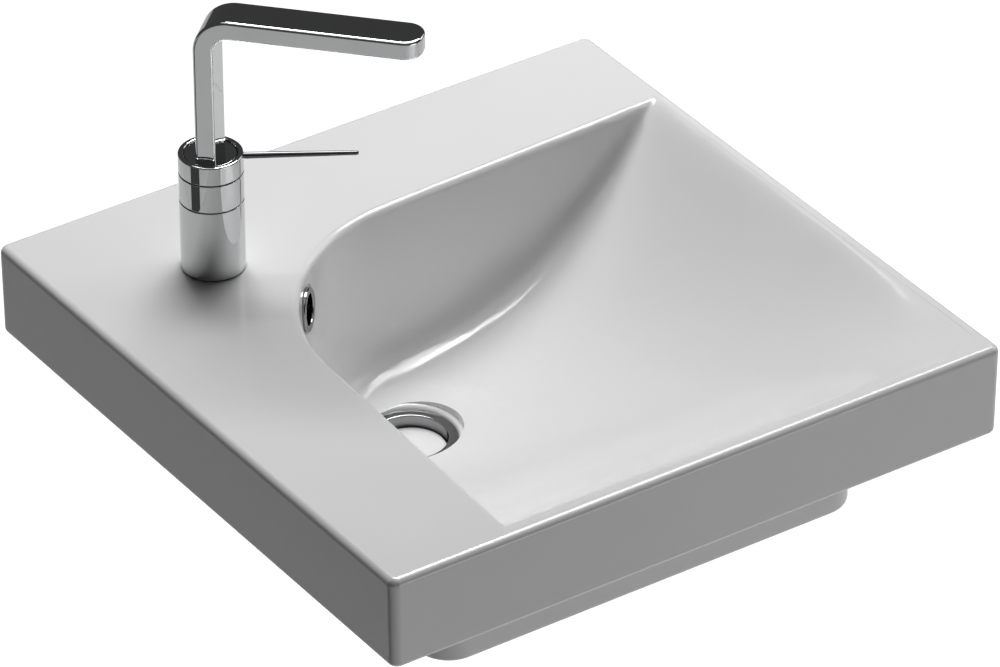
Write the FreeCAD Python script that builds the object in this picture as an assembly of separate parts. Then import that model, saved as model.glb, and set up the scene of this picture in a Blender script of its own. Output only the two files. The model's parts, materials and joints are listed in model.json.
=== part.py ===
import FreeCAD
import Part
import math
import os

# Washbasin with a corner bowl, a single-hole mixer tap and a push-open waste. Millimetres.
# Origin: on the wall plane, midway between the two wall fixing holes. +X right, +Y into the wall, +Z up.

V = FreeCAD.Vector
UP = V(0, 0, 1)

# Ceramic slab
WIDTH = 460.0
DEPTH = 460.0
DECK_Z = 36.0            # deck above the wall fixings
APRON_H = 65.6
APRON_DRAFT = 0.8        # degrees, on the front and both sides
SLAB_CORNER_R = 6.5
TOP_EDGE_R = 5.0
LOW_EDGE_R = 4.0
DECK_T = 14.0
APRON_T = 12.0

# Bowl, open to the front and right edges, with walls along the left, the corner and the back
LEFT_DECK = 96.0
BACK_DECK = 99.5
RIM_W = 8.0              # narrow rim at the front and on the right
BOWL_CORNER_R = 142.0
BOWL_FLARE = 2.3         # degrees that each wall leans outwards in plan from the corner
BOWL_DEPTH = 115.0
FLOOR_RUN = 282.0        # from the front or right rim to where the floor has levelled out
RIM_ROLL = 8.5           # softness of the roll from rim to floor
RIM_R = 5.0
WALL_DRAFT = 4.0         # degrees
COVE_R = 28.0            # wall to floor, in the deep pocket
COVE_END_R = 8.0         # where the wall dies out
COVE_GROWTH = 0.25       # cove radius gained per depth
FAN_END_R = 16.0         # inner rim corner at the front right
WALL_T = 11.0
FLOOR_T = 12.0
GLAZE_LINE = 0.12        # bowl edge below the deck

# Skirt that the basin stands on under the bowl
SKIRT_FRONT = 72.0       # setback behind the front apron
SKIRT_RIGHT = 53.0       # setback from the right apron
SKIRT_CORNER_R = 24.0
FOOT_EDGE_R = 4.0

# Wall fixings in the back apron
FIXING_SPACING = 280.0
FIXING_HOLE_R = 7.0
FIXING_BOSS_R = 20.0
FIXING_BOSS_T = 28.0

# Drain well
DRAIN_LEFT = 190.5
DRAIN_BACK = 190.5
WELL_R = 31.3
WELL_DEPTH = 17.0
WELL_LIP_R = 3.5
WELL_WEB = 3.8           # ceramic between the well's seat and the overflow passage
DRAIN_HOLE_R = 23.0
DRAIN_BOSS_R = 41.0

# Overflow, on the diagonal of the corner
OVERFLOW_DROP = 24.0     # centre below the deck
OVERFLOW_HOLE_R = 12.0
OVERFLOW_RING_R = 16.0
OVERFLOW_RING_T = 2.2
OVERFLOW_EDGE_R = 1.0
OVERFLOW_WALL = 1.4
OVERFLOW_REACH = 9.0
OVERFLOW_SEAL_T = 0.6
SPOT_FACE = 0.3
CHANNEL_W = 26.0
CHANNEL_T = 11.0
CHANNEL_H = 4.0
CHANNEL_WALL = 7.0
CHANNEL_FLOOR = 2.6

# Tap
TAP_LEFT = 102.0
TAP_BACK = 99.0
TAP_HOLE_R = 17.5
TAP_BOSS_R = 27.0
TAP_BOSS_T = 4.0
TAP_R = 20.9
BASE_SEAL_T = 0.8
BODY_H = 50.2
BODY_BASE_T = 8.2
BODY_BORE_R = 17.6
BODY_SPIGOT_R = 17.0     # in the tap hole
BODY_SPIGOT_H = 4.0
BODY_NECK_R = 18.8
BODY_NECK_H = 10.0
GROOVE_H = 0.8
GROOVE_IN = 0.8
SHROUD_H = 19.4
SHROUD_TOP_T = 4.2
COLLAR_H = 13.2
COLLAR_FLOOR_T = 4.9
COLLAR_WALL = 3.6
COLLAR_RIM_R = 1.1
INLET_R = 4.5
INLET_OFFSET = 11.7
STUD_R = 4.0
STUD_OFFSET = 11.0
STUD_GRIP = 7.0
STUD_DROP = 62.0
NUT_AF = 13.0
NUT_H = 6.5
HORSESHOE_R = 24.0
HORSESHOE_HALF_GAP = 16.8
HORSESHOE_BACK = 5.5
HORSESHOE_T = 3.0

# Valve inside the tap
HOUSING_H = 31.0
HOUSING_WALL = 2.0
HOUSING_FLOOR_T = 4.0
DISC_T = 4.0
PORT_R = 2.8
SLEEVE_R = 11.4
SLEEVE_FLANGE_T = 6.0
NUT_RING_H = 6.0
RISER_R = 6.3
RISER_BORE_R = 4.6

# Spout
SPOUT_W = 27.0
SPOUT_T = 13.0
SPOUT_TOP = 192.0        # above the deck
SPOUT_REACH = 140.0      # tap axis to tip
SPOUT_BEND_R = 11.0      # inside of the bend
SPOUT_TIP_R = 12.0
SPOUT_EDGE = 2.0
SPOUT_WALL = 2.2
SPOUT_AZIMUTH = -47.0
SPOUT_BASE_T = 4.3
SPOUT_BASE_GAP = 0.5
SPOUT_BASE_DROP = 1.0    # disc below the collar's rim
SPOUT_TUBE_H = 14.0
SPOUT_TUBE_WALL = 1.7
ORING_R = 0.46
AERATOR_R = 9.17
AERATOR_WALL = 1.15
AERATOR_LIP = 0.8
AERATOR_H = 6.3
AERATOR_FROM_TIP = 15.0
AERATOR_SEAL_T = 1.2
AERATOR_JET_R = 1.1

# Lever
LEVER_AZIMUTH = -32.0
LEVER_BELOW_RIM = 3.5
LEVER_REACH = 94.0       # tap axis to tip
LEVER_ROOT_R = 2.25
LEVER_TIP_R = 1.5
LEVER_THREAD_R = 1.9

# Waste
CUP_R = 30.6
CUP_WALL = 1.6
CUP_FLOOR_T = 2.0
CUP_TOP_DROP = 4.5       # lip of the cup below the floor
CUP_LIP = 0.5
CUP_LIP_T = 1.2
WASTE_SEAL_T = 1.2
TAIL_R = 20.95
TAIL_WALL = 2.55
TAIL_DROP = 92.0         # end of the tail below the floor
TAIL_RELIEF = 0.5
TAIL_RELIEF_H = 2.0
SLOT_W = 9.0
LOWER_SEAL_R = 29.0
LOWER_SEAL_T = 6.0
LOWER_SEAL_TAPER = 2.5
SLIP_WASHER_T = 1.6
BACK_NUT_AF = 52.0
BACK_NUT_H = 9.0
SPIDER_DROP = 30.0       # top of the hub below the floor
SPIDER_HUB_R = 9.0
SPIDER_HUB_H = 8.0
SPIDER_ARM_W = 4.0
SPIDER_ARM_H = 4.0
BARREL_R = 6.0
BARREL_SHOULDER_R = 7.5
BARREL_SHOULDER_T = 2.0
BARREL_TOP_DROP = 20.0
BARREL_END_DROP = 42.0
PLUG_STEM_R = 3.0
PLUG_STEM_CLEAR = 0.05
PLUG_STEM_DROP = 38.0
PLUG_R = 25.5
PLUG_T = 3.2
PLUG_EDGE_R = 1.2
PLUG_SEAL_T = 1.0
PLUG_SEAL_IN = 20.0
PLUG_SEAL_OUT = 24.5
PLUG_CARRIER_R = 16.0
PLUG_CARRIER_T = 2.6

# Clearances
FIT = 0.03               # pieces screwed or pressed together
RUN = 0.3                # round pieces that turn past each other
SEAT = 0.1               # flat pieces that slide on each other
LOOSE = 0.2              # pieces dropped into a bore

# Values worked out from those above
LEFT_X = -WIDTH / 2 + LEFT_DECK
BACK_Y = -BACK_DECK
RIM_X = WIDTH / 2 - RIM_W
RIM_Y = -DEPTH + RIM_W
CORNER = V(LEFT_X + BOWL_CORNER_R, BACK_Y - BOWL_CORNER_R, 0)
FLARE = math.radians(BOWL_FLARE)
DRAFT = math.radians(WALL_DRAFT)
ARC_TURN = math.pi / 2 - 2 * FLARE
COVE_ZONE = RIM_R + COVE_R + BOWL_DEPTH * math.tan(DRAFT) + RIM_R
DRAIN_X = -WIDTH / 2 + DRAIN_LEFT
DRAIN_Y = -DRAIN_BACK
TAP_AXIS = V(-WIDTH / 2 + TAP_LEFT, -TAP_BACK, DECK_Z)
BODY_TOP = BASE_SEAL_T + BODY_H
SHROUD_LOW = BODY_TOP + GROOVE_H
SHROUD_TOP = SHROUD_LOW + SHROUD_H
COLLAR_LOW = SHROUD_TOP + GROOVE_H + SEAT
COLLAR_TOP = COLLAR_LOW + COLLAR_H
HOUSING_LOW = BASE_SEAL_T + BODY_BASE_T
HOUSING_R = BODY_BORE_R - LOOSE
HOUSING_TOP = HOUSING_LOW + HOUSING_H
DISC_LOW = HOUSING_LOW + HOUSING_FLOOR_T
DISC_R = HOUSING_R - HOUSING_WALL - LOOSE
SLEEVE_LOW = DISC_LOW + 2 * DISC_T + SEAT
SLEEVE_TOP = COLLAR_LOW + COLLAR_FLOOR_T
SPOUT_BASE_LOW = COLLAR_TOP - SPOUT_BASE_DROP - SPOUT_BASE_T
SPOUT_BASE_R = TAP_R - COLLAR_WALL - SPOUT_BASE_GAP
UNDER_BOSS = -DECK_T - TAP_BOSS_T
CUP_FLOOR_LOW = -WELL_DEPTH + WASTE_SEAL_T
CUP_FLOOR_TOP = CUP_FLOOR_LOW + CUP_FLOOR_T
TAIL_BORE_R = TAIL_R - TAIL_WALL


def ring(outer_r, inner_r, low, high):
    """Upright ring on the Z axis."""
    height = high - low
    body = Part.makeCylinder(outer_r, height, V(0, 0, low))
    return body.cut(Part.makeCylinder(inner_r, height, V(0, 0, low)))


def post(radius, low, high, x=0.0, y=0.0):
    """Upright cylinder."""
    return Part.makeCylinder(radius, high - low, V(x, y, low))


def turned(profile):
    """Solid of revolution about Z from a closed profile of (radius, height) corners."""
    corners = [V(r, 0, z) for r, z in profile]
    face = Part.Face(Part.makePolygon(corners + corners[:1]))
    return face.revolve(V(0, 0, 0), UP, 360)


def block(x0, x1, y0, y1, z0, z1):
    """Box between two corners."""
    return Part.makeBox(x1 - x0, y1 - y0, z1 - z0, V(x0, y0, z0))


def hexagon(across_flats, low, high):
    """Upright hexagonal prism on the Z axis."""
    r = across_flats / math.sqrt(3)
    corners = [V(r * math.cos(a), r * math.sin(a), low) for a in [k * math.pi / 3 for k in range(7)]]
    return Part.Face(Part.makePolygon(corners)).extrude(V(0, 0, high - low))


def bevel_edges(shape, size, wanted):
    """Cuts flat the edges for which wanted(edge) is true."""
    return shape.makeChamfer(size, [e for e in shape.Edges if wanted(e)])


def round_edges(shape, radius, wanted):
    """Fillets the edges for which wanted(edge) is true."""
    return shape.makeFillet(radius, [e for e in shape.Edges if wanted(e)])


def is_circle(edge, radius, height):
    """True for a level circular edge of this radius at this height."""
    curve = edge.Curve
    if not isinstance(curve, Part.Circle):
        return False
    return abs(curve.Radius - radius) < 1e-4 and abs(curve.Center.z - height) < 1e-4


def turn(shape, degrees):
    """Copy turned about the Z axis."""
    made = shape.copy()
    made.rotate(V(0, 0, 0), UP, degrees)
    return made


# Bowl surface


def dish(share):
    """Depth share of the floor, steep at the rim and level where share reaches 1."""
    left = 1 - min(share, 1.0)
    return 1 - left * left


def rolled(distance):
    """Distance from a rim, with a soft start so that the floor rolls away from the rim."""
    if distance <= 0:
        return 0.0
    return distance * distance / (distance + RIM_ROLL)


def floor_depth(x, y):
    """Depth of the bowl floor below the deck."""
    across = dish(rolled(RIM_X - x) / FLOOR_RUN)
    along = dish(rolled(y - RIM_Y) / FLOOR_RUN)
    return BOWL_DEPTH * across * along


def foot_drop():
    """Depth of the drain boss's underside below the floor at the drain."""
    return WELL_DEPTH + WELL_WEB + CHANNEL_H + CHANNEL_FLOOR


def foot_depth():
    """Depth of the foot below the deck."""
    return floor_depth(DRAIN_X, DRAIN_Y) + foot_drop()


def outline_ends(grow):
    """Tangent points of the bowl's corner arc with its left and back walls, grown outwards."""
    r = BOWL_CORNER_R + grow
    left = CORNER + V(-r * math.cos(FLARE), r * math.sin(FLARE), 0)
    back = CORNER + V(-r * math.sin(FLARE), r * math.cos(FLARE), 0)
    middle = CORNER + V(-r, r, 0) * math.sqrt(0.5)
    return left, middle, back


def wall_station(share):
    """Point on the bowl's wall line and the direction into the bowl, from front left to back right."""
    left, _, back = outline_ends(0)
    left_run = (left.y - RIM_Y) / math.cos(FLARE)
    back_run = (RIM_X - back.x) / math.cos(FLARE)
    arc_run = BOWL_CORNER_R * ARC_TURN
    s = share * (left_run + arc_run + back_run)
    if s < left_run:
        way = left_run - s
        return left + V(-math.sin(FLARE), -math.cos(FLARE), 0) * way, V(1, 0, 0)
    if s > left_run + arc_run:
        way = s - left_run - arc_run
        return back + V(math.cos(FLARE), math.sin(FLARE), 0) * way, V(0, -1, 0)
    done = (s - left_run) / arc_run
    angle = -FLARE - done * ARC_TURN
    point = CORNER - V(math.cos(angle), math.sin(angle), 0) * BOWL_CORNER_R
    inward = -done * math.pi / 2
    return point, V(math.cos(inward), math.sin(inward), 0)


def wall_lengths(depth):
    """Lengths of rim roll, drafted wall, cove and level strip over the cove zone, and the rim's turn."""
    cove = cove_radius(depth)
    full = (RIM_R + cove) * (1 - math.sin(DRAFT))
    if depth >= full:
        lean = math.pi / 2 - DRAFT
        wall = (depth - full) / math.cos(DRAFT)
    else:
        lean = math.acos(1 - depth / (RIM_R + cove))
        wall = 0.0
    level = COVE_ZONE - (RIM_R + cove) * math.sin(lean) - wall * math.sin(DRAFT)
    return RIM_R * lean, wall, cove * lean, level, lean


def cove_radius(depth):
    """Radius from wall to floor, smaller where the bowl is shallow."""
    return min(COVE_R, COVE_END_R + COVE_GROWTH * depth)


def wall_point(depth, s):
    """Inset and drop of the wall's profile at the length s down from the rim."""
    rim, wall, bend, level, lean = wall_lengths(depth)
    if s <= rim:
        a = s / RIM_R
        return RIM_R * math.sin(a), RIM_R * (1 - math.cos(a))
    s -= rim
    if s <= wall:
        return (RIM_R * math.sin(lean) + s * math.sin(DRAFT),
                RIM_R * (1 - math.cos(lean)) + s * math.cos(DRAFT))
    s -= wall
    cove = cove_radius(depth)
    if s <= bend:
        a = lean - s / cove
        return COVE_ZONE - level - cove * math.sin(a), depth - cove * (1 - math.cos(a))
    return COVE_ZONE - level + s - bend, depth


def even_flow(marks, steps):
    """Lengths that pass the marks after the given steps, their spacing changing smoothly."""
    count = len(steps)
    slopes = [(marks[k + 1] - marks[k]) / steps[k] for k in range(count)]
    rates = [slopes[0]]
    for k in range(count - 1):
        rates.append(2 * slopes[k] * slopes[k + 1] / (slopes[k] + slopes[k + 1]))
    rates.append(slopes[-1])
    flow = [marks[0]]
    for k in range(count):
        for j in range(1, steps[k] + 1):
            t = j / steps[k]
            ease = t * t * (3 - 2 * t)
            bow = rates[k] * t * (1 - t) ** 2 - rates[k + 1] * t * t * (1 - t)
            flow.append(marks[k] + (marks[k + 1] - marks[k]) * ease + steps[k] * bow)
    return flow


def skin_through(grid):
    """Smooth surface through a grid of points."""
    def splined(points):
        curve = Part.BSplineCurve()
        curve.interpolate(Points=points, Parameters=[float(k) for k in range(len(points))])
        return curve

    rows = [splined(row) for row in grid]
    columns = [splined([row.getPole(k + 1) for row in rows]) for k in range(rows[0].NbPoles)]
    poles = [[column.getPole(k + 1) for column in columns] for k in range(columns[0].NbPoles)]
    skin = Part.BSplineSurface()
    skin.buildFromPolesMultsKnots(poles, columns[0].getMultiplicities(), rows[0].getMultiplicities(),
                                  columns[0].getKnots(), rows[0].getKnots(), False, False, 3, 3)
    return skin.toShape()


def bowl_row(share):
    """One line of points over the bowl, down the wall and along the floor to the front right corner."""
    start, inward = wall_station(share)
    foot = start + inward * COVE_ZONE
    angle = (share - 1) * math.pi / 2
    hub = V(RIM_X - FAN_END_R, RIM_Y + FAN_END_R, 0)
    end = hub + V(math.cos(angle), math.sin(angle), 0) * FAN_END_R
    depth = floor_depth(foot.x, foot.y)
    rim, wall, bend, level, _ = wall_lengths(depth)
    zone = rim + wall + bend + level
    marks = [0.0, max(rim, RIM_R)]
    marks.append(marks[1] + max(wall, COVE_END_R))
    marks.append(marks[2] + max(bend, 2 * RIM_R))
    marks += [zone, zone + (end - foot).Length]
    row = []
    for s in even_flow(marks, (6, 6, 8, 3, 12)):
        if s <= zone:
            inset, drop = wall_point(depth, s)
            row.append(start + inward * inset - UP * drop)
        else:
            p = foot + (end - foot) * ((s - zone) / (marks[5] - zone))
            row.append(p - UP * floor_depth(p.x, p.y))
    row[-1] = end
    return [p + UP * (DECK_Z - GLAZE_LINE) for p in row]


def bowl_surface():
    """Skin of the bowl: rows fanned from the walls to the front right corner, closer at both ends."""
    stations = 40
    crowding = 0.8
    grid = []
    for i in range(stations + 1):
        even = i / stations
        grid.append(bowl_row(even - crowding * math.sin(2 * math.pi * even) / (2 * math.pi)))
    return skin_through(grid)


def under_floor():
    """Everything below the underside of the bowl floor."""
    steps = 14
    spread = 1.6
    low_x, high_x = LEFT_X - 4 * WALL_T, WIDTH / 2
    low_y, high_y = -DEPTH, BACK_Y + 4 * WALL_T
    grid = []
    for i in range(steps + 1):
        x = high_x - (high_x - low_x) * (i / steps) ** spread
        row = []
        for k in range(steps + 1):
            y = low_y + (high_y - low_y) * (k / steps) ** spread
            row.append(V(x, y, DECK_Z - FLOOR_T - floor_depth(x, y)))
        grid.append(row)
    return skin_through(grid).extrude(V(0, 0, -3 * foot_depth()))


# Ceramic basin


def slab():
    """Outer block of the basin with drafted apron and rounded edges."""
    lean = APRON_H * math.tan(math.radians(APRON_DRAFT))
    half, low = WIDTH / 2, DECK_Z - APRON_H
    top = [V(-half, -DEPTH, DECK_Z), V(half, -DEPTH, DECK_Z), V(half, 0, DECK_Z), V(-half, 0, DECK_Z)]
    inset = half - lean
    base = [V(-inset, lean - DEPTH, low), V(inset, lean - DEPTH, low), V(inset, 0, low), V(-inset, 0, low)]
    faces = [Part.Face(Part.makePolygon(loop + loop[:1])) for loop in (top, base[::-1])]
    for k in range(4):
        n = (k + 1) % 4
        faces.append(Part.Face(Part.makePolygon([top[k], base[k], base[n], top[n], top[k]])))
    body = Part.Solid(Part.makeShell(faces))
    body = round_edges(body, SLAB_CORNER_R, lambda e: abs(e.Vertexes[0].Z - e.Vertexes[1].Z) > 1)
    body = round_edges(body, TOP_EDGE_R, lambda e: e.BoundBox.ZMin > DECK_Z - 1e-3)
    return round_edges(body, LOW_EDGE_R, lambda e: e.BoundBox.ZMax < low + 1e-3)


def bowl_prism(low, high):
    """Upright prism around the outside of the bowl's walls, open beyond the front and right edges."""
    left, middle, back = outline_ends(WALL_T)
    front = left + V(-math.sin(FLARE), -math.cos(FLARE), 0) * DEPTH
    right = back + V(math.cos(FLARE), math.sin(FLARE), 0) * WIDTH
    far = V(right.x, front.y, 0)
    edges = [Part.LineSegment(front, left).toShape(), Part.Arc(left, middle, back).toShape(),
             Part.LineSegment(back, right).toShape(), Part.LineSegment(right, far).toShape(),
             Part.LineSegment(far, front).toShape()]
    face = Part.Face(Part.Wire(edges))
    face.translate(UP * low)
    return face.extrude(UP * (high - low))


def skirt_prism(low, high, inset):
    """Upright prism of the skirt under the bowl, its sides moved in by inset."""
    left, middle, back = outline_ends(WALL_T - inset)
    front_y = -DEPTH + SKIRT_FRONT + inset
    right_x = WIDTH / 2 - SKIRT_RIGHT - inset
    front = left + V(-math.tan(FLARE), -1, 0) * (left.y - front_y)
    right = back + V(1, math.tan(FLARE), 0) * (right_x - back.x)
    far = V(right_x, front_y, 0)
    edges = [Part.LineSegment(front, left).toShape(), Part.Arc(left, middle, back).toShape(),
             Part.LineSegment(back, right).toShape(), Part.LineSegment(right, far).toShape(),
             Part.LineSegment(far, front).toShape()]
    face = Part.Face(Part.Wire(edges))
    face.translate(UP * low)
    body = face.extrude(UP * (high - low))
    corners = [(p.x, p.y) for p in (front, right, far)]

    def upright_corner(edge):
        box = edge.BoundBox
        if box.ZLength < 1:
            return False
        return any(abs(box.XMin - x) + abs(box.YMin - y) < 1e-3 for x, y in corners)

    return round_edges(body, SKIRT_CORNER_R - inset, upright_corner)


def on_diagonal(shape):
    """Copy moved to the bowl's corner centre with its X axis turned along the diagonal into the corner."""
    made = turn(shape, 135)
    made.translate(V(CORNER.x, CORNER.y, DECK_Z))
    return made


def wall_inset(drop):
    """Distance from the bowl's outline to its wall at this depth."""
    return RIM_R * math.cos(DRAFT) + (drop - RIM_R * (1 - math.sin(DRAFT))) * math.tan(DRAFT)


def at_overflow(shape):
    """Copy moved from the origin to the overflow's spot face, its Z axis turned square to the wall."""
    made = shape.copy()
    made.rotate(V(0, 0, 0), V(0, 1, 0), -90 + WALL_DRAFT)
    made.translate(V(BOWL_CORNER_R - wall_inset(OVERFLOW_DROP) + SPOT_FACE, 0, -OVERFLOW_DROP))
    return on_diagonal(made)


def at_drain(shape):
    """Copy moved from the origin to the bowl floor at the drain's centre."""
    made = shape.copy()
    made.translate(V(DRAIN_X, DRAIN_Y, DECK_Z - floor_depth(DRAIN_X, DRAIN_Y)))
    return made


def at_tap(shape, azimuth=0.0):
    """Copy turned about its axis and moved from the origin to the tap hole's centre on the deck."""
    made = turn(shape, azimuth)
    made.translate(TAP_AXIS)
    return made


def overflow_path():
    """Passage from the overflow hole down behind the corner and in to the drain hole, with its housing."""
    drain_a = (V(DRAIN_X, DRAIN_Y, 0) - CORNER).Length
    inner = BOWL_CORNER_R + WALL_T - CHANNEL_WALL / 2
    outer = inner + CHANNEL_T
    half = CHANNEL_W / 2
    foot = -foot_depth()
    low = foot + CHANNEL_FLOOR
    top = -OVERFLOW_DROP + OVERFLOW_HOLE_R + CHANNEL_FLOOR
    shell = half + CHANNEL_WALL
    housing = block(BOWL_CORNER_R - COVE_ZONE, outer + CHANNEL_WALL, -shell, shell, foot, -DECK_T)
    sump = block(drain_a, outer + CHANNEL_WALL, -shell, shell, foot, -BOWL_DEPTH)
    shaft = block(inner, outer, -half, half, low, top)
    drift = block(drain_a, outer, -half, half, low, low + CHANNEL_H)
    return on_diagonal(housing.fuse(sump)), on_diagonal(shaft.fuse(drift))


def drain_well():
    """Room of the drain: rounded lip, round well, seat and hole."""
    mouth = WELL_R + WELL_LIP_R
    deep = -2 * foot_depth()
    k = WELL_LIP_R * math.sqrt(0.5)
    lip = Part.Arc(V(mouth, 0, 0), V(mouth - k, 0, k - WELL_LIP_R), V(WELL_R, 0, -WELL_LIP_R)).toShape()
    corners = [(WELL_R, -WELL_LIP_R), (WELL_R, -WELL_DEPTH), (DRAIN_HOLE_R, -WELL_DEPTH),
               (DRAIN_HOLE_R, deep), (0, deep), (0, FLOOR_T), (mouth, FLOOR_T), (mouth, 0)]
    line = Part.makePolygon([V(r, 0, z) for r, z in corners])
    return Part.Face(Part.Wire([lip] + line.Edges)).revolve(V(0, 0, 0), UP, 360)


def basin_ceramic():
    """One ceramic casting: slab, bowl, skirt, bosses and the overflow passage."""
    foot = DECK_Z - foot_depth()
    bowl_room = bowl_surface().extrude(UP * (2 * foot_depth()))
    below_floor = under_floor()
    skirt = skirt_prism(foot, DECK_Z - DECK_T, 0)
    skirt = round_edges(skirt, FOOT_EDGE_R, lambda e: e.BoundBox.ZMax < foot + 1e-3)
    inside = block(-WIDTH / 2 + APRON_T, WIDTH / 2 - APRON_T, -DEPTH + APRON_T, -APRON_T,
                   foot - DECK_T, DECK_Z)
    under_deck = inside.common(block(-WIDTH, WIDTH, -DEPTH, 0, foot - DECK_T, DECK_Z - DECK_T))
    under_deck = under_deck.cut(bowl_prism(foot - DECK_T, DECK_Z))
    beside_skirt = inside.common(bowl_prism(foot - DECK_T, DECK_Z)).common(below_floor)
    beside_skirt = beside_skirt.cut(skirt_prism(foot - 2 * DECK_T, DECK_Z, 0))
    in_skirt = skirt_prism(foot - DECK_T, DECK_Z, WALL_T).common(below_floor)
    body = slab().fuse(skirt).cut(under_deck).cut(beside_skirt).cut(in_skirt)

    housing, passage = overflow_path()
    boss = at_drain(post(DRAIN_BOSS_R, -foot_drop(), FLOOR_T / 2))
    tap_boss = at_tap(post(TAP_BOSS_R, UNDER_BOSS, -DECK_T / 2))
    body = body.fuse(housing).fuse(boss).fuse(tap_boss)
    for side in (-1, 1):
        axis_x = side * FIXING_SPACING / 2
        wall_boss = Part.makeCylinder(FIXING_BOSS_R, FIXING_BOSS_T - APRON_T / 2,
                                      V(axis_x, -APRON_T / 2, 0), V(0, -1, 0))
        body = body.fuse(wall_boss)
    body = body.cut(bowl_room)

    body = body.cut(at_drain(drain_well()))
    body = body.cut(passage)
    spot = post(OVERFLOW_RING_R + LOOSE, 0, COVE_ZONE)
    body = body.cut(at_overflow(spot.fuse(post(OVERFLOW_HOLE_R, -2 * WALL_T, COVE_ZONE))))
    body = body.cut(at_tap(post(TAP_HOLE_R, -2 * foot_depth(), DECK_T)))
    for side in (-1, 1):
        hole = Part.makeCylinder(FIXING_HOLE_R, 2 * FIXING_BOSS_T,
                                 V(side * FIXING_SPACING / 2, FIXING_BOSS_T / 2, 0), V(0, -1, 0))
        body = body.cut(hole)
    return body.removeSplitter()


# Overflow fittings


def overflow_ring():
    """Chrome ring with a short barrel in the overflow hole."""
    low = OVERFLOW_SEAL_T
    barrel_r = OVERFLOW_HOLE_R - RUN
    bore = barrel_r - OVERFLOW_WALL
    body = ring(OVERFLOW_RING_R, bore, low, low + OVERFLOW_RING_T)
    high = low + OVERFLOW_RING_T
    body = round_edges(body, OVERFLOW_EDGE_R,
                       lambda e: is_circle(e, OVERFLOW_RING_R, high) or is_circle(e, bore, high))
    return at_overflow(body.fuse(ring(barrel_r, bore, low - OVERFLOW_REACH, low)).removeSplitter())


def overflow_gasket():
    """Flat rubber ring behind the overflow ring."""
    return at_overflow(ring(OVERFLOW_RING_R - OVERFLOW_SEAL_T, OVERFLOW_HOLE_R, 0, OVERFLOW_SEAL_T))


# Tap body and valve


def tap_base_gasket():
    """Rubber ring between the tap and the deck."""
    return at_tap(ring(TAP_R - GROOVE_IN, TAP_HOLE_R, 0, BASE_SEAL_T))


def inlet_places():
    """Centres of the two supply inlets, one on each side of the spout's line."""
    return [(0, side * INLET_OFFSET) for side in (-1, 1)]


def tap_body():
    """Lower chrome body: a cup with a threaded neck, two inlets and a stud hole in its base."""
    body = turned([(0, -BODY_SPIGOT_H), (BODY_SPIGOT_R, -BODY_SPIGOT_H), (BODY_SPIGOT_R, BASE_SEAL_T),
                   (TAP_R, BASE_SEAL_T), (TAP_R, BODY_TOP), (BODY_NECK_R, BODY_TOP),
                   (BODY_NECK_R, BODY_TOP + BODY_NECK_H), (BODY_BORE_R, BODY_TOP + BODY_NECK_H),
                   (BODY_BORE_R, HOUSING_LOW), (0, HOUSING_LOW)])
    for x, y in inlet_places():
        body = body.cut(post(INLET_R, -BODY_SPIGOT_H, HOUSING_LOW, x, y))
    body = body.cut(post(STUD_R + FIT, -BODY_SPIGOT_H, STUD_GRIP - BODY_SPIGOT_H, -STUD_OFFSET))
    body = body.cut(post(RISER_R + FIT, BODY_SPIGOT_H, HOUSING_LOW))
    edge = GROOVE_IN / 2
    body = bevel_edges(body, edge,
                       lambda e: is_circle(e, TAP_R, BODY_TOP) or is_circle(e, TAP_R, BASE_SEAL_T))
    return at_tap(body, SPOUT_AZIMUTH)


def cartridge_housing():
    """Plastic cup that holds the ceramic discs, with two ports over the inlets."""
    body = ring(HOUSING_R, RISER_R + LOOSE, HOUSING_LOW, HOUSING_TOP)
    body = body.cut(post(HOUSING_R - HOUSING_WALL, DISC_LOW, HOUSING_TOP))
    for x, y in inlet_places():
        body = body.cut(post(PORT_R, HOUSING_LOW, DISC_LOW, x, y))
    return at_tap(body, SPOUT_AZIMUTH)


def fixed_disc():
    """Lower ceramic disc with a hot and a cold port."""
    body = ring(DISC_R, RISER_R + RUN, DISC_LOW, DISC_LOW + DISC_T)
    for x, y in inlet_places():
        body = body.cut(post(PORT_R, DISC_LOW, DISC_LOW + DISC_T, x, y))
    return at_tap(body, SPOUT_AZIMUTH)


def turning_disc():
    """Upper ceramic disc, whose curved slot uncovers the ports as it turns."""
    low = DISC_LOW + DISC_T + SEAT
    body = ring(DISC_R - LOOSE, RISER_R + RUN, low, SLEEVE_LOW)
    slot = ring(INLET_OFFSET + PORT_R / 2, INLET_OFFSET - PORT_R / 2, low, SLEEVE_LOW)
    slot = slot.common(block(0, TAP_R, -TAP_R / 2, TAP_R / 2, low, SLEEVE_LOW))
    return at_tap(body.cut(slot), LEVER_AZIMUTH)


def drive_sleeve():
    """Sleeve round the riser that the collar turns, with a flange on the turning disc."""
    chamber_r = (RISER_R + SLEEVE_R) / 2 + RUN
    body = turned([(chamber_r, SLEEVE_LOW), (DISC_R - LOOSE, SLEEVE_LOW),
                   (DISC_R - LOOSE, SLEEVE_LOW + SLEEVE_FLANGE_T), (SLEEVE_R, SLEEVE_LOW + SLEEVE_FLANGE_T),
                   (SLEEVE_R, SLEEVE_TOP), (RISER_R + RUN, SLEEVE_TOP),
                   (RISER_R + RUN, SLEEVE_LOW + SLEEVE_FLANGE_T), (chamber_r, SLEEVE_LOW + SLEEVE_FLANGE_T)])
    return at_tap(body)


def cartridge_nut():
    """Brass ring nut that clamps the housing, with key slots."""
    high = HOUSING_TOP + NUT_RING_H
    body = ring(BODY_BORE_R - FIT, SLEEVE_R + RUN, HOUSING_TOP, high)
    keys = block(-TAP_R, TAP_R, -PORT_R / 2, PORT_R / 2, high - NUT_RING_H / 2, high)
    return at_tap(body.cut(keys).cut(turn(keys, 90)))


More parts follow.
